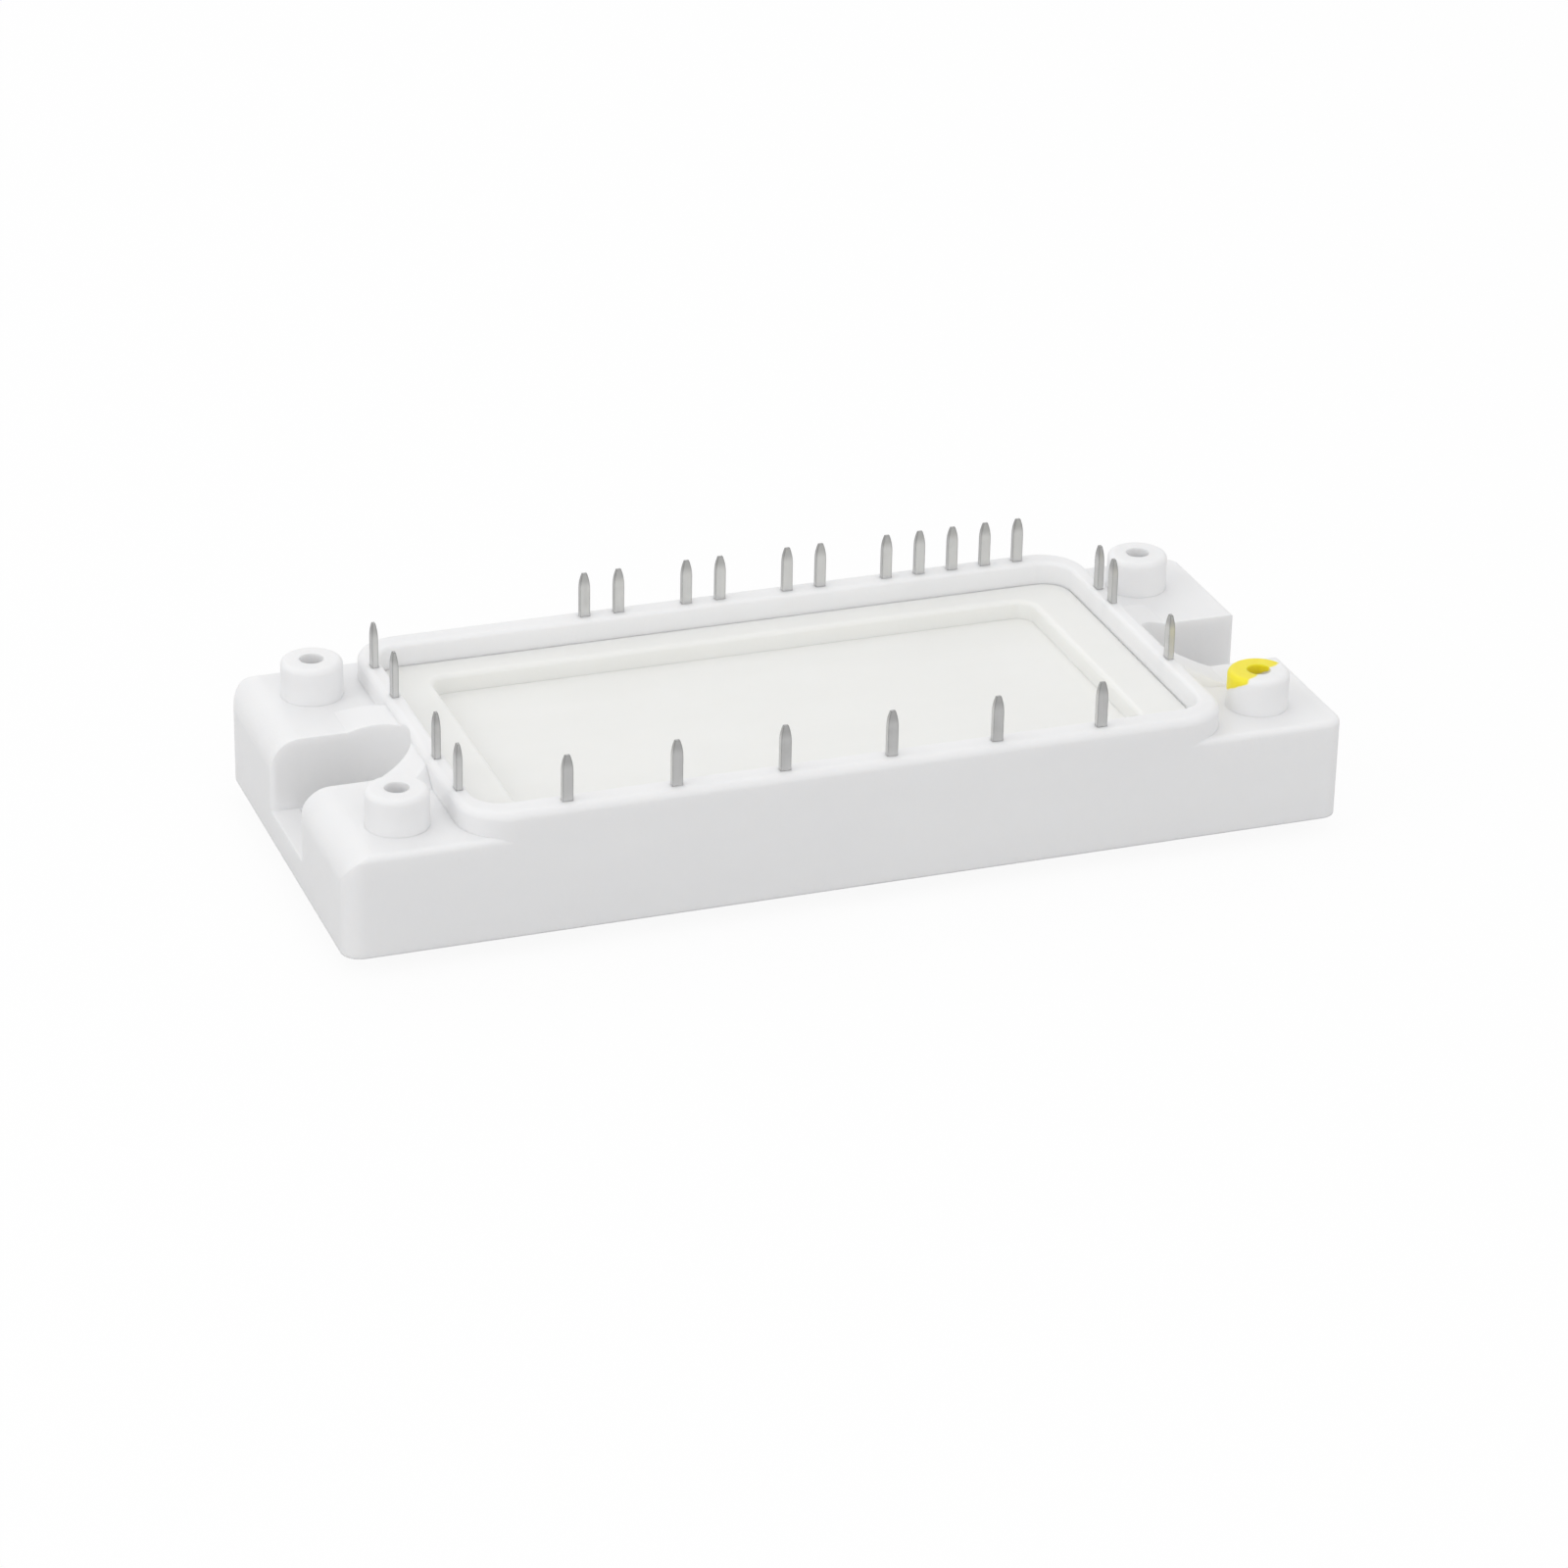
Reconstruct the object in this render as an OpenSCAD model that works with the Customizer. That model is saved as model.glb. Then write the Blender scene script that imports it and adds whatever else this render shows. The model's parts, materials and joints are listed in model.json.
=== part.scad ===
// Power semiconductor module: a white moulded housing on a metal heatsink plate,
// two rows and two end columns of solder pins, four board stand-offs, a dished lid,
// and inside it the ceramic boards, chips, bond wires and gel that make it work.
// Millimetres. The plate's underside is at z = 0, the length runs along X.

/* [Pin grid] */
// Grid step that every solder pin stands on
pin_pitch = 3.81; // [3.6:0.01:4.1]
// Grid steps between the two end columns
columns_apart = 21; // [21:2:25]
// Grid steps between the two side rows
rows_apart = 11; // [11:2:13]
// Width of a pin's blade, along its wall
pin_w = 1.1; // [0.8:0.05:1.3]
// Thickness of a pin's blade, through its wall
pin_t = 0.65; // [0.5:0.05:1.1]
// Height of the pin tips above the heatsink face
pin_z = 20.5; // [18.5:0.1:24]
// Length of the ogive at a pin's tip
pin_nose = 1.8; // [0.8:0.1:2.4]
// Share of the blade's width left at the tip
tip_share = 0.45; // [0.4:0.05:0.7]
// Thickness of the bonding foot
foot_t = 0.8; // [0.5:0.05:1]
// How much wider the retaining shoulder is than the blade, in all
shoulder_extra = 0.7; // [0.2:0.1:1]
// Height of the retaining shoulder
shoulder_h = 1.6; // [1:0.1:2.5]

/* [Housing] */
// From the side rows' pin centres out to the side face
side_cover = 1.545; // [1.2:0.005:2.5]
// From the end columns' pin centres out to the frame's end face
end_cover = 0.995; // [0.8:0.005:2.5]
// From the side rows' pin centres in to the lid opening
side_rim_in = 1.355; // [1:0.005:2]
// From the end columns' pin centres in to the lid opening
end_rim_in = 0.905; // [0.7:0.005:2]
// Length of the mounting lobes beyond the frame
lobe_l = 12.75; // [12:0.05:15]
// Height of the skirt's lower edge above the heatsink face
skirt_z = 2; // [1:0.1:2.6]
// Height of the lobes' top faces
lobe_z = 13; // [11:0.1:14]
// Height of the frame's rim
rim_z = 15.6; // [15:0.1:16.6]
// Corner radius of the housing, seen from above
body_r = 2; // [1:0.1:3]
// Corner radius of the raised frame
frame_r = 5; // [3:0.1:6]
// Rounding of the frame's outer top edge
rim_round = 0.8; // [0.3:0.1:0.9]
// Rounding of the frame's inner top edge
rim_inner_round = 0.4; // [0.2:0.1:0.4]
// Rounding of the lobes' top edge
lobe_round = 0.6; // [0.2:0.1:1]
// Large rounding of the left end's top edge
end_round = 3.2; // [1:0.1:3.6]

/* [Board stand-offs] */
// Diameter of a stand-off
dome_d = 6.5; // [5.5:0.1:8]
// Height of the stand-offs' tops
dome_z = 17; // [16.5:0.1:18]
// Rounding of a stand-off's top edge
dome_round = 0.6; // [0.2:0.1:1]
// Distance of a stand-off's axis from the side face
dome_inset = 6.5; // [5:0.1:7]
// Diameter of the board screw hole
dome_hole_d = 2.5; // [2:0.1:3]
// Depth of the board screw hole
dome_hole_depth = 8.5; // [5:0.5:8.5]

/* [Screw pockets] */
// Distance of the mounting screws and stand-offs from the end face
screw_inset = 7.25; // [7:0.05:8]
// Radius of a screw pocket, also half the width of its mouth
pocket_r = 5.8; // [5.5:0.1:6]
// Height of the sill at the pocket's mouth
sill_z = 5.2; // [4.4:0.1:6]
// Length of the sill, inwards from the end face
sill_l = 2.9; // [1.4:0.1:3.2]
// Radius of the washer space behind the sill, open down to the plate
washer_r = 5.3; // [5:0.1:5.4]
// Radius where the pocket's mouth turns into the end face
mouth_r = 0.6; // [0.5:0.1:2]
// Length of the ramp from the frame down to the lobes
ramp_l = 4.6; // [3:0.1:5]
// Radius of the ramp's top about the screw's axis; its flank widens downwards
ramp_r = 9.2; // [8:0.1:9.4]
// Drop of the ramp's top below the rim
ramp_drop = 0.8; // [0.8:0.1:1.2]

/* [Heatsink plate] */
// Thickness of the plate
plate_t = 3; // [2.8:0.1:4]
// Distance of the plate's ends inside the housing's outline
plate_inset_end = 3; // [2.5:0.1:3.2]
// Distance of the plate's sides inside the housing's outline
plate_inset_side = 4.2; // [2.5:0.1:4.4]
// Corner radius of the plate
plate_r = 2.5; // [1:0.1:4]
// Edge break around the plate's heatsink face
plate_edge = 0.3; // [0.1:0.1:0.5]
// Diameter of the mounting holes
screw_hole_d = 5.5; // [4.5:0.1:5.6]
// Gap between the plate's edge and the rebate in the skirt
plate_gap = 0.15; // [0.1:0.05:0.3]
// Thickness of the adhesive between plate and housing
glue_t = 0.15; // [0.1:0.05:0.3]

/* [Lid] */
// Gap all round the lid
lid_gap = 0.1; // [0.1:0.05:0.25]
// Depth of the lid's border below the rim
lid_drop = 2.5; // [2:0.1:3]
// Thickness of the lid's border and panel
lid_t = 1.3; // [1:0.1:1.5]
// Depth of the sunk panel below the border
panel_drop = 2.1; // [1.5:0.1:2.2]
// Width of the lid's border at the ends
border_end = 5.1; // [4.5:0.1:6]
// Width of the lid's border at the sides
border_side = 3.5; // [3.2:0.1:4]
// Corner radius of the sunk panel
panel_r = 2; // [1.5:0.1:3]
// Rounding of the border's inner edge
border_round = 0.5; // [0.2:0.1:0.7]

/* [Cavity] */
// Width of the shoulder that carries the lid
shoulder_w = 1.3; // [1:0.1:1.6]
// Width of the ledge that the pins' feet lie on
ledge_w = 2.6; // [2.2:0.1:2.8]
// Height of the ledge
ledge_z = 5.4; // [5:0.1:5.6]
// Height that the gel is filled to
gel_z = 8.7; // [8.4:0.1:8.9]
// Wall left round the cored space under each lobe
core_wall = 1.7; // [1.4:0.1:2.2]
// Depth of the cored space under each lobe
core_h = 3.8; // [2:0.1:4]

/* [Ceramic boards] */
// Gap between the boards and the ledge
board_gap = 0.8; // [0.6:0.1:1]
// Gap between the two boards
board_split = 1; // [0.8:0.1:1.2]
// Thickness of the solder under a board
board_solder_t = 0.1; // [0.05:0.05:0.2]
// Thickness of each copper layer
copper_t = 0.3; // [0.2:0.05:0.4]
// Thickness of the ceramic
ceramic_t = 0.4; // [0.25:0.05:0.6]
// Bare edge of ceramic round the copper
bare_edge = 0.6; // [0.4:0.1:0.8]
// Gap etched between two copper areas
etch_gap = 0.6; // [0.4:0.1:0.8]

/* [Chips and wires] */
// Bare copper at each end of a transistor and its diode
chip_margin = 0.3; // [0.2:0.05:0.5]
// Gap between a transistor and the diode beside it
chip_gap = 0.5; // [0.4:0.1:0.7]
// Share of the silicon beside each other that is the transistor
igbt_share = 0.6; // [0.5:0.05:0.65]
// Side of a rectifier diode chip
rectifier_side = 4.8; // [4:0.1:5]
// Height of a chip with the solder under it
chip_t = 0.3; // [0.2:0.05:0.4]
// Length of the thermistor
thermistor_l = 3.2; // [2:0.1:3.4]
// Width of the thermistor
thermistor_w = 1.6; // [1:0.1:1.8]
// Height of the thermistor
thermistor_h = 0.9; // [0.6:0.1:1.2]
// Diameter of a bond wire
wire_d = 0.3; // [0.2:0.05:0.4]

/* [Hidden] */
$fn = 48;
eps = 0.01;
// How far cutters reach past what they cut, and how deep joined shapes run into each other
over = 1;
corner_signs = [[-1, -1], [1, -1], [1, 1], [-1, 1]];
end_signs = [-1, 1];

// Pin rows and columns, counted in grid steps from the middle
back_steps = [-4, -3, -1, 0, 2, 3, 5, 6, 7, 8, 9];
front_steps = [-8, -5, -2, 1, 4, 7];
left_steps = [4, 2, -2, -4];
right_steps = [3, 2, -2];
column_x = columns_apart / 2 * pin_pitch;
row_y = rows_apart / 2 * pin_pitch;

// Outlines, from the pin grid outwards and inwards
frame_l = 2 * (column_x + end_cover);
body_l = frame_l + 2 * lobe_l;
body_w = 2 * (row_y + side_cover);
opening_l = 2 * (column_x - end_rim_in);
opening_w = 2 * (row_y - side_rim_in);
opening_r = frame_r - (end_cover + end_rim_in);
cavity_l = opening_l - 2 * shoulder_w;
cavity_w = opening_w - 2 * shoulder_w;
cavity_r = opening_r - shoulder_w;
floor_l = cavity_l - 2 * ledge_w;
floor_w = cavity_w - 2 * ledge_w;
floor_r = 1;
plate_l = body_l - 2 * plate_inset_end;
plate_w = body_w - 2 * plate_inset_side;
screw_x = body_l / 2 - screw_inset;
dome_y = body_w / 2 - dome_inset;
rebate_z = plate_t + glue_t;
lid_z = rim_z - lid_drop;
lid_seat_z = lid_z - lid_t;
panel_l = opening_l - 2 * lid_gap - 2 * border_end;
panel_w = opening_w - 2 * lid_gap - 2 * border_side;
panel_z = lid_z - panel_drop;

// Cored space under a lobe, between the frame, the pocket and the plate's edge
core_x0 = frame_l / 2 + core_wall;
core_x1 = plate_l / 2 - core_wall;
core_y0 = pocket_r + core_wall;
core_y1 = plate_w / 2 - core_wall;

// Pins: [x, y, turn that points the foot into the cavity, length of the foot].
// The feet stop a little short of the ledge's edge.
foot_back = 0.4;
foot_side = row_y - floor_w / 2 - foot_back;
foot_end = column_x - floor_l / 2 - foot_back;
shoulder_z = 9;
pins = concat(
    [for (s = back_steps) [s * pin_pitch, row_y, 180, foot_side]],
    [for (s = front_steps) [s * pin_pitch, -row_y, 0, foot_side]],
    [for (s = left_steps) [-column_x, s * pin_pitch, -90, foot_end]],
    [for (s = right_steps) [column_x, s * pin_pitch, 90, foot_end]]);

// Boards, stacked on the plate: solder, copper, ceramic, copper
boards_l = floor_l - 2 * board_gap;
board_w = floor_w - 2 * board_gap;
split_x = -pin_pitch / 2;
board_x = [[-boards_l / 2, split_x - board_split / 2], [split_x + board_split / 2, boards_l / 2]];
back_copper_z = plate_t + board_solder_t;
ceramic_z = back_copper_z + copper_t;
circuit_z = ceramic_z + ceramic_t;
chip_z = circuit_z + copper_t;
chip_top_z = chip_z + chip_t;
foot_top_z = ledge_z + foot_t;

// Landing pads for the pins' wires, along the boards' outer edges.
// Each wire leaves its pin this far back from the foot's end.
foot_bond_back = 0.5;
pad_w = 2;
pad_l = 1.7;
pad_x_max = boards_l / 2 - bare_edge - pad_l / 2;
pad_y_max = board_w / 2 - bare_edge - pad_l / 2;

// Copper field inside the pads: chip islands in the middle, narrow strips at both sides
strip_w = 1.4;
half_etch = etch_gap / 2;
field_y = pad_y_max - pad_l / 2 - etch_gap;
strip_y = field_y - strip_w;
island_y = strip_y - etch_gap;
field_x = [
    [board_x[0][0] + bare_edge + pad_l + etch_gap, board_x[0][1] - bare_edge],
    [board_x[1][0] + bare_edge, board_x[1][1] - bare_edge - pad_l - etch_gap]];

// Right board: three columns of the inverter, each with chips that fit its copper
inverter_x0 = field_x[1][0];
inverter_step = (field_x[1][1] - inverter_x0 + etch_gap) / 3;
pair_l = inverter_step - etch_gap - 2 * chip_margin;
igbt_side = (pair_l - chip_gap) * igbt_share;
diode_side = (pair_l - chip_gap) * (1 - igbt_share);
igbt_shift = (igbt_side - pair_l) / 2;
diode_shift = (pair_l - diode_side) / 2;
// Left board: the brake's column, then three columns of the rectifier
brake_margin = 1.2;
brake_share = 0.65;
brake_l = igbt_side + 2 * brake_margin;
brake_x = field_x[0][0] + brake_l / 2;
brake_y = island_y * brake_share;
rectifier_x0 = field_x[0][0] + brake_l + etch_gap;
rectifier_step = (field_x[0][1] - rectifier_x0 + etch_gap) / 3;

function column_middle(x0, step, k) = x0 + step * k + (step - etch_gap) / 2;
function inverter_column(k) = column_middle(inverter_x0, inverter_step, k);
function rectifier_column(k) = column_middle(rectifier_x0, rectifier_step, k);
chip_row_y = (island_y + half_etch) / 2;

// Chips: [x, y] of each centre, the brake's last
igbts = concat(
    [for (k = [0 : 2], s = [1, -1]) [inverter_column(k) + igbt_shift, s * chip_row_y]],
    [[brake_x, chip_row_y]]);
freewheel_diodes = concat(
    [for (k = [0 : 2], s = [1, -1]) [inverter_column(k) + diode_shift, s * chip_row_y]],
    [[brake_x, -(brake_y + half_etch) / 2]]);
rectifier_diodes = [for (k = [0 : 2], s = [1, -1]) [rectifier_column(k), s * chip_row_y]];
thermistor_y = -(brake_y + etch_gap + field_y) / 2;

// Where wires are bonded: in from a chip's edge, in from an island's edge, either side of the middle
bond_in = 0.8;
island_bond_in = 0.9;
pair_wire_y = 1;
brake_wire_x = 1.6;
lower_bond_y = half_etch + island_bond_in;
strip_bond_y = strip_y + strip_w / 2;

function numbered(name, n) = [for (i = [1 : n]) str(name, i < 10 ? "_0" : "_", i)];
pin_names = numbered("pin", len(pins));
igbt_names = numbered("igbt_chip", len(igbts));
diode_names = numbered("freewheel_diode", len(freewheel_diodes));
rectifier_names = numbered("rectifier_diode", len(rectifier_diodes));
board_sides = ["left", "right"];
solder_names = [for (s = board_sides) str("board_solder_", s)];
back_copper_names = [for (s = board_sides) str("back_copper_", s)];
ceramic_names = [for (s = board_sides) str("ceramic_", s)];
circuit_names = [for (s = board_sides) str("circuit_copper_", s)];

// A rectangle with round corners, centred
module rounded_rect(l, w, r) {
    square([l - 2 * r, w], center = true);
    square([l, w - 2 * r], center = true);
    for (s = corner_signs)
        translate([s[0] * (l / 2 - r), s[1] * (w / 2 - r)])
            circle(r);
}

// Half of an edge's section: full width at the foot, drawn in by a quarter round at the top
module round_in(half, edge) {
    square([half - edge, edge]);
    intersection() {
        translate([half - edge, 0])
            circle(edge);
        square([half, edge]);
    }
}

// Half of an edge's section: flares out by a quarter round towards the top
module round_out(half, edge) {
    difference() {
        square([half + edge, edge]);
        translate([half + edge, 0])
            circle(edge);
    }
}

// A layer as high as its edge radius, with the edge rounded in or flared out all round
module edge_layer(l, w, r, edge, flare = false) {
    for (turn = [0, 90]) {
        across = turn == 0 ? w : l;
        along = (turn == 0 ? l : w) - 2 * r;
        rotate([0, 0, turn])
            translate([-along / 2, 0, 0])
                rotate([90, 0, 90])
                    linear_extrude(along)
                        for (m = [0, 1])
                            mirror([m, 0])
                                if (flare)
                                    round_out(across / 2, edge);
                                else
                                    round_in(across / 2, edge);
    }
    for (s = corner_signs)
        translate([s[0] * (l / 2 - r), s[1] * (w / 2 - r), 0])
            rotate_extrude()
                if (flare)
                    round_out(r, edge);
                else
                    round_in(r, edge);
}

// A block with round corners whose top edge is rounded
module rounded_block(l, w, r, z0, z1, edge) {
    translate([0, 0, z0])
        linear_extrude(z1 - edge - z0)
            rounded_rect(l, w, r);
    translate([0, 0, z1 - edge])
        edge_layer(l, w, r, edge);
}

// The space of an opening whose top edge is rounded
module flared_opening(l, w, r, z0, z1, edge) {
    translate([0, 0, z0])
        linear_extrude(z1 - z0 + eps)
            rounded_rect(l, w, r);
    translate([0, 0, z1 - edge])
        edge_layer(l, w, r, edge, flare = true);
}

// One pin: ogive nose, blade, retaining shoulder and bonding foot along +Y
module pin_shape(foot_l) {
    blade_h = pin_z - ledge_z;
    intersection() {
        translate([0, pin_t / 2, ledge_z])
            rotate([90, 0, 0])
                linear_extrude(pin_t)
                    nosed_bar(pin_w, blade_h);
        translate([-pin_w / 2, 0, ledge_z])
            rotate([90, 0, 90])
                linear_extrude(pin_w)
                    nosed_bar(pin_t, blade_h);
    }
    translate([-(pin_w + shoulder_extra) / 2, -pin_t / 2, shoulder_z])
        cube([pin_w + shoulder_extra, pin_t, shoulder_h]);
    translate([-pin_w / 2, 0, ledge_z])
        cube([pin_w, foot_l, foot_t]);
}

// A bar whose upper end narrows along two arcs to a flat tip
module nosed_bar(w, h) {
    drop = w * (1 - tip_share) / 2;
    arc_r = (pin_nose * pin_nose + drop * drop) / (2 * drop);
    translate([-w / 2, 0])
        square([w, h - pin_nose]);
    intersection() {
        translate([w / 2 - arc_r, h - pin_nose])
            circle(arc_r);
        translate([arc_r - w / 2, h - pin_nose])
            circle(arc_r);
        translate([-w / 2, h - pin_nose])
            square([w, pin_nose]);
    }
}

module placed_pin(p) {
    translate([p[0], p[1], 0])
        rotate([0, 0, p[2]])
            pin_shape(p[3]);
}

// Plan of a screw pocket: round end about the screw, open mouth with turned corners
module pocket_plan() {
    circle(pocket_r);
    translate([0, -pocket_r])
        square([screw_inset + over, 2 * pocket_r]);
    translate([screw_inset - mouth_r, 0])
        difference() {
            translate([0, -pocket_r - mouth_r])
                square([mouth_r + over, 2 * (pocket_r + mouth_r)]);
            for (s = end_signs)
                translate([0, s * (pocket_r + mouth_r)])
                    circle(mouth_r);
        }
}

// Wedge that slopes from the frame's end face down to the lobes' tops, with a conical flank
module ramp() {
    ramp_h = rim_z - ramp_drop - lobe_z;
    foot_r = ramp_r + ramp_h + over;
    root = 2 * over;
    intersection() {
        translate([frame_l / 2, foot_r, lobe_z])
            rotate([90, 0, 0])
                linear_extrude(2 * foot_r)
                    polygon([[-root, -over], [ramp_l, -over], [ramp_l, 0], [0, ramp_h], [-root, ramp_h]]);
        translate([screw_x, 0, lobe_z - over])
            cylinder(r1 = foot_r, r2 = ramp_r - over, h = ramp_h + 2 * over);
    }
}

// Stand-off with a rounded top edge
module dome() {
    shaft_h = dome_z - dome_round - lobe_z + over;
    cylinder(d = dome_d, h = shaft_h);
    translate([0, 0, shaft_h])
        rotate_extrude()
            round_in(dome_d / 2, dome_round);
}

// What the mould fills, before the openings
module housing_mass() {
    rounded_block(body_l, body_w, body_r, skirt_z, lobe_z, lobe_round);
    rounded_block(frame_l, body_w, frame_r, lobe_z - 2 * over, rim_z, rim_round);
    for (e = [0, 1])
        mirror([e, 0, 0])
            ramp();
    for (s = corner_signs)
        translate([s[0] * screw_x, s[1] * dome_y, lobe_z - over])
            dome();
}

// Plan of the washer space: from its round end out to the sill
module washer_plan() {
    circle(washer_r);
    translate([0, -washer_r])
        square([screw_inset - sill_l, 2 * washer_r]);
}

module screw_pocket() {
    translate([screw_x, 0, sill_z])
        linear_extrude(rim_z - sill_z + over)
            pocket_plan();
    translate([screw_x, 0, plate_t])
        linear_extrude(sill_z - plate_t + over)
            washer_plan();
}

module lobe_core() {
    translate([core_x0, core_y0, 0])
        cube([core_x1 - core_x0, core_y1 - core_y0, rebate_z + core_h]);
}

// What a large rounding takes off the left end's top edge
module left_end_rounding() {
    translate([-body_l / 2, body_w / 2 + over, lobe_z - end_round])
        rotate([90, 0, 0])
            linear_extrude(body_w + 2 * over)
                difference() {
                    translate([-over, 0])
                        square([end_round + over, end_round + over]);
                    translate([end_round, 0])
                        circle(end_round);
                }
}

module cavity_space() {
    flared_opening(opening_l, opening_w, opening_r, lid_seat_z, rim_z, rim_inner_round);
    translate([0, 0, ledge_z])
        linear_extrude(lid_seat_z - ledge_z + over)
            rounded_rect(cavity_l, cavity_w, cavity_r);
    linear_extrude(ledge_z + over)
        rounded_rect(floor_l, floor_w, floor_r);
}

module housing() {
    color("whitesmoke")
        difference() {
            housing_mass();
            cavity_space();
            left_end_rounding();
            for (e = [0, 1])
                mirror([e, 0, 0])
                    screw_pocket();
            for (s = corner_signs)
                scale([s[0], s[1], 1])
                    lobe_core();
            linear_extrude(rebate_z)
                rounded_rect(plate_l + 2 * plate_gap, plate_w + 2 * plate_gap, plate_r + plate_gap);
            for (s = corner_signs)
                translate([s[0] * screw_x, s[1] * dome_y, dome_z - dome_hole_depth])
                    cylinder(d = dome_hole_d, h = dome_hole_depth + over);
            for (p = pins)
                placed_pin(p);
        }
}

module lid() {
    lid_l = opening_l - 2 * lid_gap;
    lid_w = opening_w - 2 * lid_gap;
    color("ivory")
        difference() {
            union() {
                translate([0, 0, lid_seat_z])
                    linear_extrude(lid_t)
                        rounded_rect(lid_l, lid_w, opening_r - lid_gap);
                translate([0, 0, panel_z - lid_t])
                    linear_extrude(lid_seat_z - panel_z + lid_t)
                        rounded_rect(panel_l + 2 * lid_t, panel_w + 2 * lid_t, panel_r + lid_t);
            }
            flared_opening(panel_l, panel_w, panel_r, panel_z, lid_z, border_round);
        }
}

module heatsink_plate() {
    color("silver")
        difference() {
            intersection() {
                linear_extrude(plate_t)
                    rounded_rect(plate_l, plate_w, plate_r);
                translate([0, 0, plate_t])
                    mirror([0, 0, 1])
                        rounded_block(plate_l, plate_w, plate_r, 0, plate_t, plate_edge);
            }
            for (e = end_signs)
                translate([e * screw_x, 0, -over])
                    cylinder(d = screw_hole_d, h = plate_t + 2 * over);
        }
}

module sealant_bead() {
    color("gainsboro")
        translate([0, 0, plate_t])
            linear_extrude(glue_t)
                difference() {
                    rounded_rect(plate_l, plate_w, plate_r);
                    rounded_rect(floor_l, floor_w, floor_r);
                    for (e = [0, 1])
                        mirror([e, 0])
                            translate([screw_x, 0])
                                washer_plan();
                    for (s = corner_signs)
                        scale([s[0], s[1]])
                            translate([core_x0, core_y0])
                                square([core_x1 - core_x0, core_y1 - core_y0]);
                }
}

module pin(i) {
    color("silver")
        placed_pin(pins[i]);
}

// A flat layer of one board, drawn in by a margin
module board_layer(side, margin, z, t) {
    x0 = board_x[side][0] + margin;
    x1 = board_x[side][1] - margin;
    translate([x0, -board_w / 2 + margin, z])
        cube([x1 - x0, board_w - 2 * margin, t]);
}

module board_solder(side) {
    color("lightgray")
        board_layer(side, bare_edge, plate_t, board_solder_t);
}

module back_copper(side) {
    color("peru")
        board_layer(side, bare_edge, back_copper_z, copper_t);
}

module ceramic(side) {
    color("white")
        board_layer(side, 0, ceramic_z, ceramic_t);
}

// One copper area between two corners
module copper_area(x0, x1, y0, y1) {
    translate([x0, y0, circuit_z])
        cube([x1 - x0, y1 - y0, copper_t]);
}

function on_side(x, side) = side == 0 ? x < split_x : x > split_x;
function clamped(v, limit) = max(-limit, min(limit, v));
function landing(p) = [clamped(p[0], pad_x_max), clamped(p[1], pad_y_max)];

module landing_pads(side) {
    for (p = pins) {
        at = landing(p);
        on_end = p[2] == 90 || p[2] == -90;
        size = on_end ? [pad_l, pad_w] : [pad_w, pad_l];
        if (on_side(at[0], side))
            translate([at[0] - size[0] / 2, at[1] - pad_l / 2, circuit_z])
                cube([size[0], pad_l, copper_t]);
    }
}

// A row of equal copper areas side by side
module copper_row(x0, step, y0, y1) {
    for (k = [0 : 2])
        copper_area(x0 + k * step, x0 + (k + 1) * step - etch_gap, y0, y1);
}

module brake_copper() {
    x0 = field_x[0][0];
    x1 = x0 + brake_l;
    copper_area(x0, x1, half_etch, island_y);
    copper_area(x0, x1, strip_y, field_y);
    copper_area(x0, x1, -brake_y, -half_etch);
    copper_area(x0, brake_x - half_etch, -field_y, -brake_y - etch_gap);
    copper_area(brake_x + half_etch, x1, -field_y, -brake_y - etch_gap);
}

module rectifier_copper() {
    copper_area(rectifier_x0, field_x[0][1], half_etch, island_y);
    copper_row(rectifier_x0, rectifier_step, -island_y, -half_etch);
    copper_area(rectifier_x0, field_x[0][1], -field_y, -strip_y);
}

module inverter_copper() {
    copper_area(inverter_x0, field_x[1][1], half_etch, island_y);
    copper_row(inverter_x0, inverter_step, -island_y, -half_etch);
    for (at = [for (i = [0 : 5]) igbts[i]])
        strip_pad(at, igbt_side / 2);
    for (at = [for (i = [0 : 5]) freewheel_diodes[i]])
        strip_pad(at, diode_side);
}

// A pad in the strip beyond a chip
module strip_pad(at, l) {
    y0 = at[1] > 0 ? strip_y : -field_y;
    copper_area(at[0] - l / 2, at[0] + l / 2, y0, y0 + strip_w);
}

module circuit_copper(side) {
    color("chocolate") {
        landing_pads(side);
        if (side == 0) {
            brake_copper();
            rectifier_copper();
        } else
            inverter_copper();
    }
}

module chip(at, side) {
    color("dimgray")
        translate([at[0] - side / 2, at[1] - side / 2, chip_z])
            cube([side, side, chip_t]);
}

module thermistor() {
    color("black")
        translate([brake_x - thermistor_l / 2, thermistor_y - thermistor_w / 2, chip_z])
            cube([thermistor_l, thermistor_w, thermistor_h]);
}

// A wire that leaves one face upwards, arches over and comes down on another
module wire(from, to, z_from, z_to) {
    gap = to - from;
    span = norm(gap);
    top = max(z_from, z_to);
    translate([from[0], from[1], 0])
        rotate([0, 0, atan2(gap[1], gap[0])]) {
            translate([span / 2, 0, top])
                rotate([90, 0, 0])
                    rotate_extrude(angle = 180)
                        translate([span / 2, 0])
                            circle(d = wire_d, $fn = 16);
            if (top > z_from)
                translate([0, 0, z_from])
                    cylinder(d = wire_d, h = top - z_from, $fn = 16);
            if (top > z_to)
                translate([span, 0, z_to])
                    cylinder(d = wire_d, h = top - z_to, $fn = 16);
        }
}

// Wires from the pins' feet to their pads
module pin_wires() {
    for (p = pins) {
        reach = p[3] - foot_bond_back;
        tip = [p[0] - sin(p[2]) * reach, p[1] + cos(p[2]) * reach];
        wire(tip, landing(p), foot_top_z, chip_z);
    }
}

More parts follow.
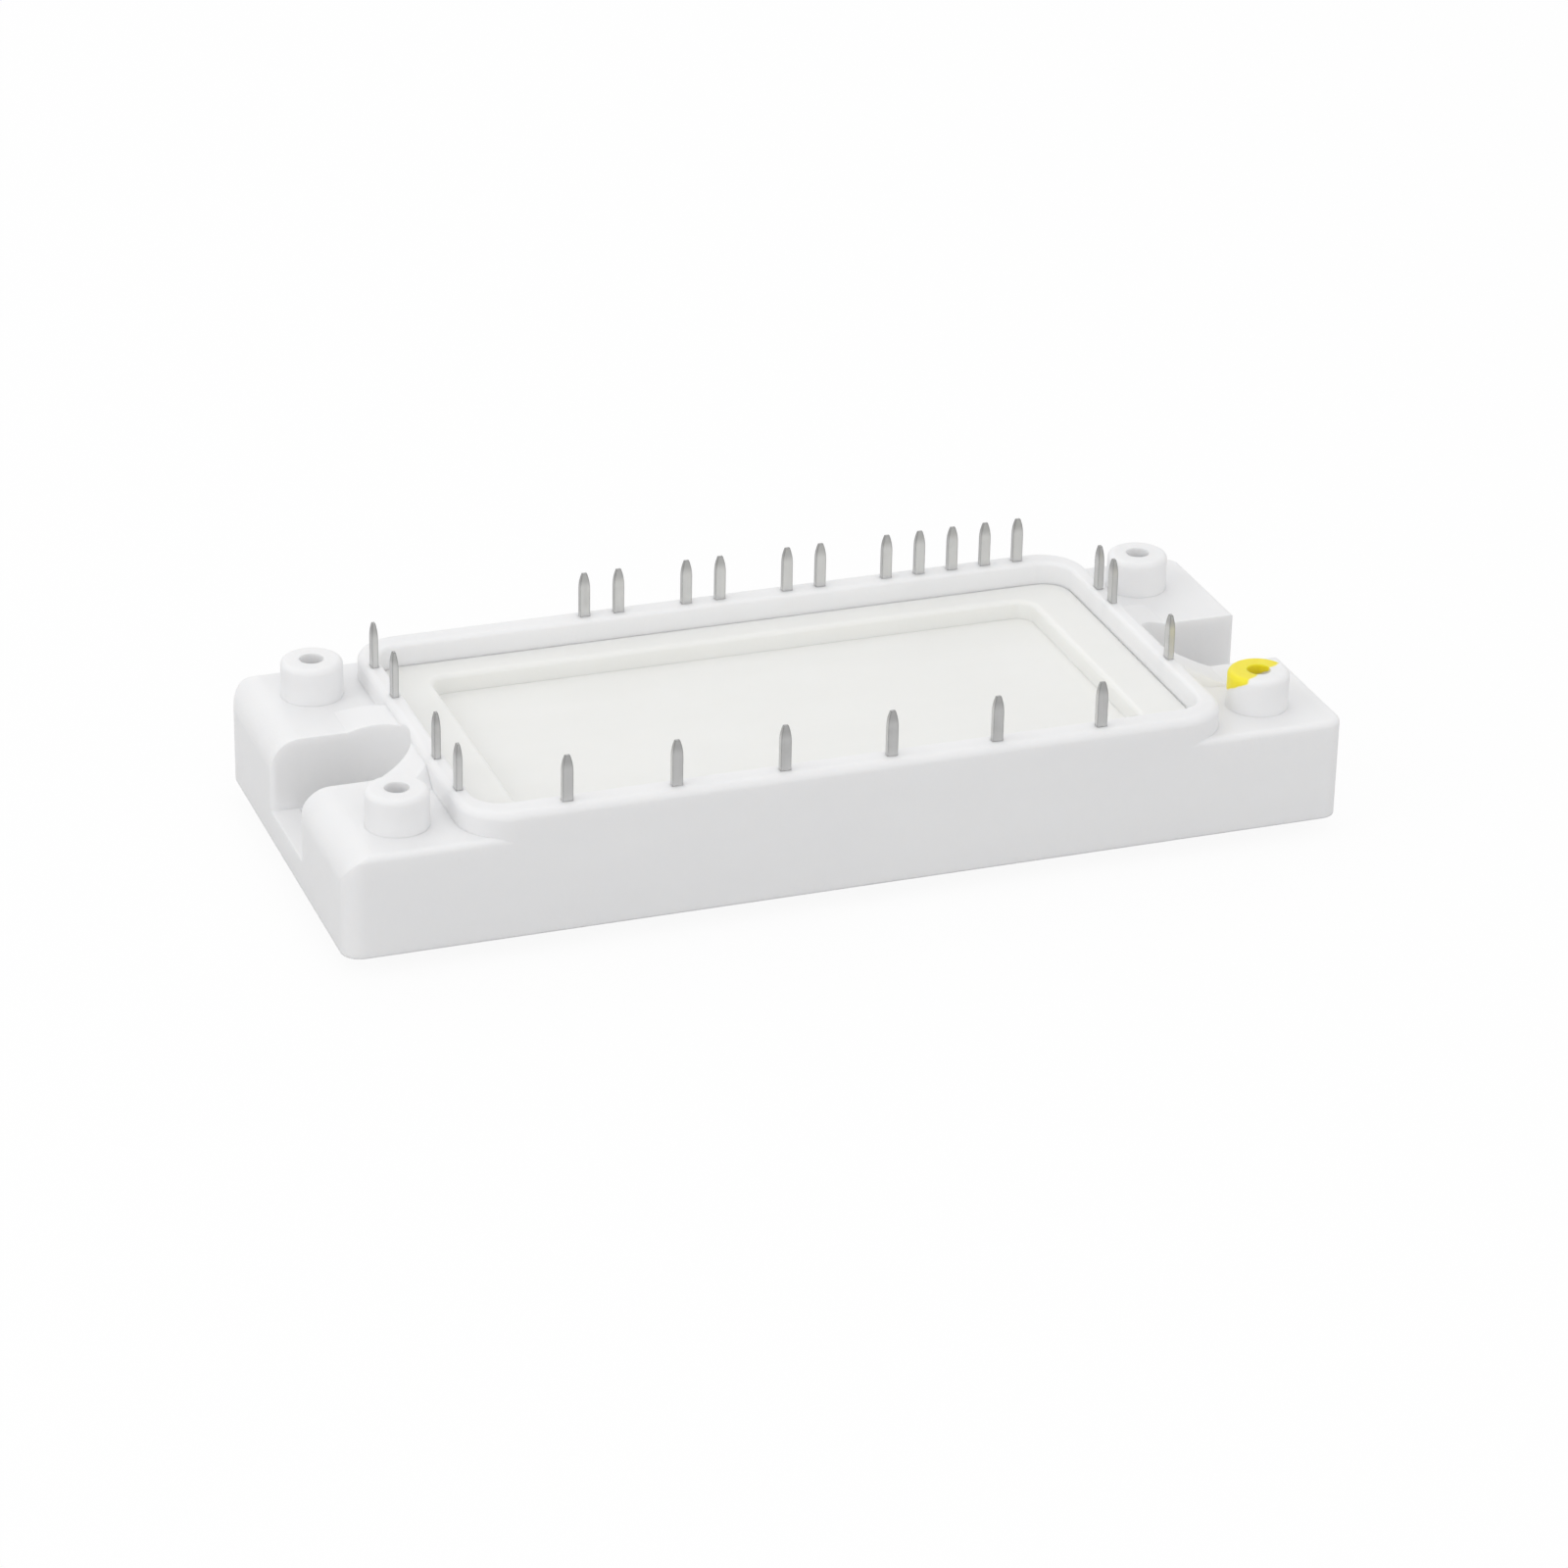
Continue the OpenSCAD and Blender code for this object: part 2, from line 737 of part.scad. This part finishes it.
// Wires of one inverter switch: two to its diode, one to its gate pad, one onwards
module switch_wires(igbt, diode) {
    s = sign(igbt[1]);
    for (dy = [-1, 1])
        wire([igbt[0] + igbt_side / 2 - bond_in, igbt[1] + dy * pair_wire_y],
            [diode[0] - diode_side / 2 + bond_in, diode[1] + dy * pair_wire_y], chip_top_z, chip_top_z);
    wire([igbt[0], igbt[1] + s * (igbt_side / 2 - bond_in)],
        [igbt[0], s * strip_bond_y], chip_top_z, chip_z);
    diode_edge = diode[1] - diode_side / 2 + bond_in;
    onwards_y = s > 0 ? -lower_bond_y : -strip_bond_y;
    wire([diode[0], diode_edge], [diode[0], onwards_y], chip_top_z, chip_z);
}

module brake_wires() {
    for (dx = [-1, 1])
        wire([brake_x + dx * brake_wire_x, chip_row_y - igbt_side / 2 + bond_in],
            [brake_x + dx * brake_wire_x, -lower_bond_y], chip_top_z, chip_z);
    wire([brake_x, chip_row_y + igbt_side / 2 - bond_in],
        [brake_x, strip_bond_y], chip_top_z, chip_z);
    diode = freewheel_diodes[6];
    wire([brake_x, diode[1] + diode_side / 2 - bond_in], [brake_x, lower_bond_y], chip_top_z, chip_z);
}

module rectifier_wires() {
    for (d = rectifier_diodes) {
        onwards_y = d[1] > 0 ? -lower_bond_y : -strip_bond_y;
        wire([d[0], d[1] - rectifier_side / 2 + bond_in], [d[0], onwards_y], chip_top_z, chip_z);
    }
}

module bond_wires() {
    color("lightsteelblue") {
        pin_wires();
        for (i = [0 : 5])
            switch_wires(igbts[i], freewheel_diodes[i]);
        brake_wires();
        rectifier_wires();
    }
}

module gel_fill() {
    color("lightcyan")
        difference() {
            union() {
                translate([0, 0, ledge_z])
                    linear_extrude(gel_z - ledge_z)
                        rounded_rect(cavity_l, cavity_w, cavity_r);
                translate([0, 0, plate_t])
                    linear_extrude(ledge_z - plate_t + eps)
                        rounded_rect(floor_l, floor_w, floor_r);
            }
            for (p = pins)
                placed_pin(p);
            for (side = [0, 1]) {
                board_solder(side);
                back_copper(side);
                ceramic(side);
                circuit_copper(side);
            }
            for (at = igbts)
                chip(at, igbt_side);
            for (at = freewheel_diodes)
                chip(at, diode_side);
            for (at = rectifier_diodes)
                chip(at, rectifier_side);
            thermistor();
            bond_wires();
        }
}

housing();
lid();
heatsink_plate();
sealant_bead();
for (i = [0 : len(pins) - 1])
    pin(i);
for (i = [0, 1]) {
    board_solder(i);
    back_copper(i);
    ceramic(i);
    circuit_copper(i);
}
for (i = [0 : len(igbts) - 1])
    chip(igbts[i], igbt_side);
for (i = [0 : len(freewheel_diodes) - 1])
    chip(freewheel_diodes[i], diode_side);
for (i = [0 : len(rectifier_diodes) - 1])
    chip(rectifier_diodes[i], rectifier_side);
thermistor();
bond_wires();
gel_fill();
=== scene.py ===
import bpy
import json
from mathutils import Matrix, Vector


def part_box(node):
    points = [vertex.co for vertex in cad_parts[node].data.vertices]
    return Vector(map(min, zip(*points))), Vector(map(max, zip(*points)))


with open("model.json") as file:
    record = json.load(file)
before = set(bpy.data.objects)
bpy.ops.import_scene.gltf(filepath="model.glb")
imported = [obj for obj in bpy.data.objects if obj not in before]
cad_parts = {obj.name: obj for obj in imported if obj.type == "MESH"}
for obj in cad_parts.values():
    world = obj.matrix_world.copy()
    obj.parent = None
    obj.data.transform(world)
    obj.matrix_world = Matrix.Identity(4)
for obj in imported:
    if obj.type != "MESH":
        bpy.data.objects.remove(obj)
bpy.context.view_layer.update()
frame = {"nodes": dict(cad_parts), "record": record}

import json
import math

import bpy
from mathutils import Matrix, Vector

MM = 0.001

WHITE = (1.0, 1.0, 1.0)
# Painted shade for the pins' tips and edges.
PAINTED_SHADE_GREY = (0.22, 0.22, 0.215)

# Places and sizes that the finishes are laid out by
standoff_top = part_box("housing")[1][2]
screw_spacing = next(
    mount["dims"] for mount in frame["record"]["mounts"] if mount["name"] == "board_screw_holes"
)
standoff_x = screw_spacing["spacing_x_mm"] / 2 * MM
standoff_y = screw_spacing["spacing_y_mm"] / 2 * MM
standoff_radius = 3.25 * MM
pin_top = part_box("pin_01")[1][2]
pin_nose = 1.6 * MM

lamp_side = 0.7
lamp_distance = 1.0


class Level:
    """One value on its way through a node tree; arithmetic on it adds Math nodes."""

    def __init__(self, wiring, socket):
        self.wiring = wiring
        self.socket = socket

    def math(self, operation, first, second):
        return self.wiring.node("ShaderNodeMath", {"operation": operation}, {0: first, 1: second})

    def __add__(self, other):
        return self.math("ADD", self, other)

    __radd__ = __add__

    def __sub__(self, other):
        return self.math("SUBTRACT", self, other)

    def __rsub__(self, other):
        return self.math("SUBTRACT", other, self)

    def __mul__(self, other):
        return self.math("MULTIPLY", self, other)

    __rmul__ = __mul__

    def __truediv__(self, other):
        return self.math("DIVIDE", self, other)

    def power(self, exponent):
        return self.math("POWER", self, exponent)

    def larger(self, other):
        return self.math("MAXIMUM", self, other)

    def step(self, low, high):
        """Rises smoothly from 0 at low to 1 at high."""
        return self.wiring.node(
            "ShaderNodeMapRange",
            {"interpolation_type": "SMOOTHSTEP"},
            {"Value": self, "From Min": low, "From Max": high},
        )


class Wiring:
    """The nodes of a material or a world, laid out by expressions."""

    def __init__(self, owner):
        owner.use_nodes = True
        self.tree = owner.node_tree
        self.tree.nodes.clear()

    def feed(self, socket, value):
        """Fills a socket with a link, a colour or a plain value; None leaves it as it is."""
        if isinstance(value, Level):
            self.tree.links.new(value.socket, socket)
        elif socket.type == "RGBA":
            socket.default_value = (*value, 1.0)
        elif value is not None:
            socket.default_value = value

    def node(self, kind, settings, sockets, output=0):
        """Adds a node, sets it up, fills its sockets and hands back one output, unless it has none."""
        made = self.tree.nodes.new(kind)
        for key, value in settings.items():
            setattr(made, key, value)
        for key, value in sockets.items():
            self.feed(made.inputs[key], value)
        return Level(self, made.outputs[output]) if made.outputs else None

    def blend(self, amount, first, second):
        """A colour between two colours. Sockets 6 and 7 and output 2 are the node's colour ones."""
        return self.node("ShaderNodeMix", {"data_type": "RGBA"}, {0: amount, 6: first, 7: second}, 2)

    def ray(self, kind):
        """1 for light that is followed in that way, and 0 for the rest."""
        return self.node("ShaderNodeLightPath", {}, {}, kind)


class Finish(Wiring):
    """A surface finish: a material laid out in the part's own coordinates."""

    def __init__(self, name):
        self.material = bpy.data.materials.new(name)
        super().__init__(self.material)
        self.place = self.node("ShaderNodeTexCoord", {}, {}, "Object")

    def axis(self, letter):
        return self.node("ShaderNodeSeparateXYZ", {}, {"Vector": self.place}, letter)

    def stretched(self, along_x, along_y, along_z):
        scale = (along_x, along_y, along_z)
        return self.node("ShaderNodeMapping", {}, {"Vector": self.place, "Scale": scale})

    def noise(self, per_metre, detail=2.0, roughness=0.5, place=None):
        """Even noise whose features are one over per_metre across, from 0 to 1."""
        return self.node(
            "ShaderNodeTexNoise",
            {},
            {"Vector": place or self.place, "Scale": per_metre, "Detail": detail, "Roughness": roughness},
            "Fac",
        )

    def bump(self, height, depth, normal=None):
        """A normal from a height between 0 and 1 that stands for a depth in metres."""
        return self.node(
            "ShaderNodeBump", {}, {"Strength": 1.0, "Distance": depth, "Height": height, "Normal": normal}
        )

    def soft_edges(self, radius):
        return self.node("ShaderNodeBevel", {"samples": 8}, {"Radius": radius})

    def edges(self, radius):
        """0 on open faces, up to about 0.3 along square edges, as far in as the radius."""
        plain = self.node("ShaderNodeNewGeometry", {}, {}, "Normal")
        lined_up = {0: self.soft_edges(radius), 1: plain}
        return 1.0 - self.node("ShaderNodeVectorMath", {"operation": "DOT_PRODUCT"}, lined_up, "Value")

    def done(self, **sockets):
        """Ends the finish in one plain shader, each socket named in words joined by underscores."""
        named = {key.replace("_", " ").title(): value for key, value in sockets.items()}
        return self.surface(self.node("ShaderNodeBsdfPrincipled", {}, named))

    def surface(self, shader):
        self.node("ShaderNodeOutputMaterial", {}, {"Surface": shader})
        return self.material


def moulded_plastic(name, pale, shaded, grain, scatter, paint_mark=False):
    """White glass-filled plastic: faint flow clouds, fine moulding grain, edges a little worn round.

    Light goes in as far as scatter says, so hollows and thin edges stay pale.
    """
    edge_radius = 0.22 * MM
    grain_depth = 0.02 * MM
    paint_thickness = 0.04 * MM
    finish = Finish(name)
    clouds = finish.noise(60, 3.0, 0.55)
    flow = finish.noise(1.0, 3.0, 0.6, finish.stretched(40, 160, 160))
    fine = finish.noise(2600, 2.0, 0.6)
    pores = finish.noise(900, 3.0, 0.65)
    scuffs = finish.noise(1.0, 4.0, 0.7, finish.stretched(260, 1400, 900)).step(0.62, 0.74)
    colour = finish.blend((clouds * 0.6 + flow * 0.4).step(0.3, 0.7), shaded, pale)
    roughness = 0.44 + pores * 0.12 + scuffs * 0.06
    height = fine * grain + pores * 0.4 + clouds * 0.6
    normal = finish.bump(height, grain_depth, finish.soft_edges(edge_radius))
    if paint_mark:
        mark = standoff_paint(finish)
        yellow = finish.blend(finish.noise(700), (0.97, 0.77, 0.02), (0.98, 0.84, 0.03))
        colour = finish.blend(mark, colour, yellow)
        roughness = roughness - mark * 0.12
        normal = finish.bump(mark, paint_thickness, normal)
    return finish.done(
        base_color=colour,
        roughness=roughness,
        normal=normal,
        subsurface_weight=0.75,
        subsurface_radius=(1.0, 0.97, 0.94),
        subsurface_scale=scatter,
    )


def standoff_paint(finish):
    """Where the inspector's dab of yellow paint lies: on top of the stand-off at the front right.

    Its inner edge slants across the top. Beyond the rim it runs down the side, furthest at the back.
    """
    x = (finish.axis("X") - standoff_x) / standoff_radius
    y = (finish.axis("Y") + standoff_y) / standoff_radius
    wobble = (finish.noise(420, 3.0, 0.6) - 0.5) * 0.3
    past_slant = y * 0.84 - x * 0.54 + 0.23 + wobble
    near_axis = (1.15 - (x * x + y * y).power(0.5)).step(0.0, 0.02)
    shortest_run, longer_by = 0.5 * MM, 1.8 * MM
    lower_edge = standoff_top - shortest_run - past_slant * longer_by
    above_edge = (finish.axis("Z") - lower_edge).step(0.0, 0.25 * MM)
    return past_slant.step(-0.05, 0.05) * near_axis * above_edge


def plated_metal(name, pale, dark, roughness, grain_scale, streaks, shaded_above=None):
    """Plated or bare metal, and the chips' silicon: fine streaks, small stains, soft edges.

    Above a height it may get painted shade: darker there and along its edges, standing in for the dark tip
    and dark sides that light gives a pin.
    """
    edge_radius = 0.12 * MM
    grain_depth = 0.01 * MM
    shaded_edge_reach = 0.3 * MM
    tip_shade_fade = 1.1 * MM
    finish = Finish(name)
    rolled = finish.noise(1.0, 3.0, 0.6, finish.stretched(*streaks))
    fine = finish.noise(grain_scale, 2.0, 0.6)
    stains = finish.noise(180, 4.0, 0.65).step(0.45, 0.75)
    colour = finish.blend(rolled * 0.6 + stains * 0.4, pale, dark)
    # Painted shade: darker towards the tip and along the edges, in place of the shade that light leaves
    # there.
    if shaded_above is not None:
        painted_tip_shade = (finish.axis("Z") - shaded_above).step(0.0, tip_shade_fade)
        colour = finish.blend(painted_tip_shade * 0.38 + finish.edges(shaded_edge_reach) * 1.6, colour, PAINTED_SHADE_GREY)
    rough = roughness + stains * 0.12 + (rolled - 0.5) * 0.16
    normal = finish.bump(rolled * 0.6 + fine * 0.4, grain_depth, finish.soft_edges(edge_radius))
    return finish.done(base_color=colour, metallic=1.0, roughness=rough, normal=normal)


def matt_layer(name, pale, dark, roughness, scale, depth, alpha=1.0):
    """A matt or soft layer: ceramic, sealant, gel or the thermistor's dark body."""
    finish = Finish(name)
    clouds = finish.noise(scale * 0.15, 3.0, 0.55)
    fine = finish.noise(scale, 2.0, 0.6)
    return finish.done(
        base_color=finish.blend(clouds, pale, dark),
        roughness=roughness + (fine - 0.5) * 0.1,
        alpha=alpha,
        normal=finish.bump(fine * 0.7 + clouds * 0.3, depth),
    )


slot_finishes = {
    "housing_plastic": moulded_plastic(
        "housing_plastic", (0.89, 0.89, 0.895), (0.87, 0.87, 0.878), 0.9, 0.8 * MM, paint_mark=True
    ),
    "lid_plastic": moulded_plastic(
        "lid_plastic", (0.89, 0.89, 0.87), (0.87, 0.87, 0.847), 0.7, 0.6 * MM
    ),
    "nickel_plate": plated_metal(
        "nickel_plate", (0.58, 0.57, 0.54), (0.40, 0.39, 0.37), 0.34, 1800, (30, 900, 900)
    ),
    "tinned_pin": plated_metal(
        "tinned_pin",
        (0.74, 0.74, 0.735),
        (0.58, 0.58, 0.575),
        0.42,
        2400,
        (1800, 1800, 160),
        # Painted shade over the pin's top pin_nose of length, and along its edges.
        shaded_above=pin_top - pin_nose,
    ),
    "solder": plated_metal(
        "solder", (0.62, 0.63, 0.64), (0.48, 0.49, 0.50), 0.36, 1500, (500, 500, 500)
    ),
    "board_copper": plated_metal(
        "board_copper", (0.78, 0.44, 0.30), (0.62, 0.32, 0.20), 0.38, 1600, (700, 120, 700)
    ),
    "bond_wire": plated_metal(
        "bond_wire", (0.80, 0.80, 0.81), (0.66, 0.66, 0.67), 0.30, 3000, (900, 900, 900)
    ),
    "silicon": plated_metal(
        "silicon", (0.46, 0.47, 0.50), (0.34, 0.35, 0.38), 0.26, 2200, (800, 800, 800)
    ),
    "ceramic_board": matt_layer(
        "ceramic_board", (0.84, 0.84, 0.82), (0.78, 0.78, 0.76), 0.62, 1600, 0.01 * MM
    ),
    "sealant": matt_layer(
        "sealant", (0.70, 0.70, 0.68), (0.60, 0.60, 0.58), 0.58, 900, 0.03 * MM
    ),
    "thermistor_body": matt_layer(
        "thermistor_body", (0.05, 0.05, 0.06), (0.03, 0.03, 0.035), 0.5, 1800, 0.01 * MM
    ),
    "soft_gel": matt_layer(
        "soft_gel", (0.80, 0.86, 0.86), (0.76, 0.83, 0.84), 0.12, 300, 0.02 * MM, alpha=0.35
    ),
}

slot_of = {entry["node"]: entry["material_slot"] for entry in frame["record"]["subparts"]}
for name, piece in frame["nodes"].items():
    for material_slot in piece.material_slots:
        material_slot.material = slot_finishes[slot_of[name]]


def direction(azimuth, elevation):
    """Towards an azimuth, counted from the part's front, and an elevation, both in degrees."""
    turn, rise = math.radians(azimuth), math.radians(elevation)
    return Vector((math.sin(turn) * math.cos(rise), -math.cos(turn) * math.cos(rise), math.sin(rise)))


def camera(azimuth, elevation, roll, distance, target, focal_length):
    """A camera that looks at target, leaning by roll degrees."""
    back = direction(azimuth, elevation)
    lean = math.radians(roll)
    level_right = (-back).cross(Vector((0, 0, 1))).normalized()
    level_up = level_right.cross(-back)
    right = level_right * math.cos(lean) + level_up * math.sin(lean)
    up = level_up * math.cos(lean) - level_right * math.sin(lean)
    lens = bpy.data.cameras.new("studio_camera")
    lens.lens = focal_length
    lens.sensor_width = 36
    made = bpy.data.objects.new("studio_camera", lens)
    turned = Matrix((right, up, back)).transposed().to_4x4()
    made.matrix_world = Matrix.Translation(target + back * distance) @ turned
    bpy.context.collection.objects.link(made)
    bpy.context.scene.camera = made


def lamp(name, azimuth, elevation, level):
    """A soft square lamp that lights a surface facing it as surroundings of that level would."""
    light = bpy.data.lights.new(name, "AREA")
    light.size = lamp_side
    light.energy = level * (math.pi * lamp_distance) ** 2
    made = bpy.data.objects.new(name, light)
    made.location = direction(azimuth, elevation) * lamp_distance
    made.rotation_euler = made.location.to_track_quat("Z", "Y").to_euler()
    bpy.context.collection.objects.link(made)


def pale_floor(side, seen, bounced, glow):
    """A plain floor: paler to the camera than in the light it gives back, with a soft shadow.

    Glow is the share of plain white that the camera sees in place of the shaded floor.
    """
    just_below = (0, 0, -0.02 * MM)
    bpy.ops.object.select_all(action="DESELECT")
    bpy.ops.mesh.primitive_plane_add(size=side, location=just_below)
    floor = bpy.context.active_object
    bpy.ops.object.transform_apply(location=True, rotation=True, scale=True)
    floor.name = "floor"
    finish = Finish("floor_paper")
    camera_ray = finish.ray("Is Camera Ray")
    shade = finish.blend(camera_ray, (bounced,) * 3, (seen,) * 3)
    paper = finish.node("ShaderNodeBsdfDiffuse", {}, {"Color": shade, "Roughness": 0.0})
    white = finish.node("ShaderNodeEmission", {}, {"Color": WHITE, "Strength": 1.0})
    shown = finish.node("ShaderNodeMixShader", {}, {0: camera_ray * glow, 1: paper, 2: white})
    floor.data.materials.append(finish.surface(shown))


def studio_world(level):
    """Plain soft surroundings: white to the camera and through clear pieces, at a lower level as light."""
    world = bpy.data.worlds.new("studio")
    bpy.context.scene.world = world
    wiring = Wiring(world)
    seen = wiring.ray("Is Camera Ray").larger(wiring.ray("Is Transmission Ray"))
    strength = level + seen * (1.0 - level)
    glow = wiring.node("ShaderNodeBackground", {}, {"Color": WHITE, "Strength": strength})
    wiring.node("ShaderNodeOutputWorld", {}, {"Surface": glow})


camera(
    azimuth=-20.279,
    elevation=25.879,
    roll=1.192,
    distance=561.03 * MM,
    target=Vector((0.876, 2.210, 2.0)) * MM,
    focal_length=122.19,
)
pale_floor(side=4.0, seen=0.96, bounced=0.66, glow=0.92)
studio_world(level=0.76)
lamp("front", azimuth=0, elevation=38, level=0.13)
lamp("left", azimuth=-85, elevation=35, level=0.16)
lamp("back", azimuth=180, elevation=45, level=0.1)

bpy.context.scene.view_settings.view_transform = "Standard"
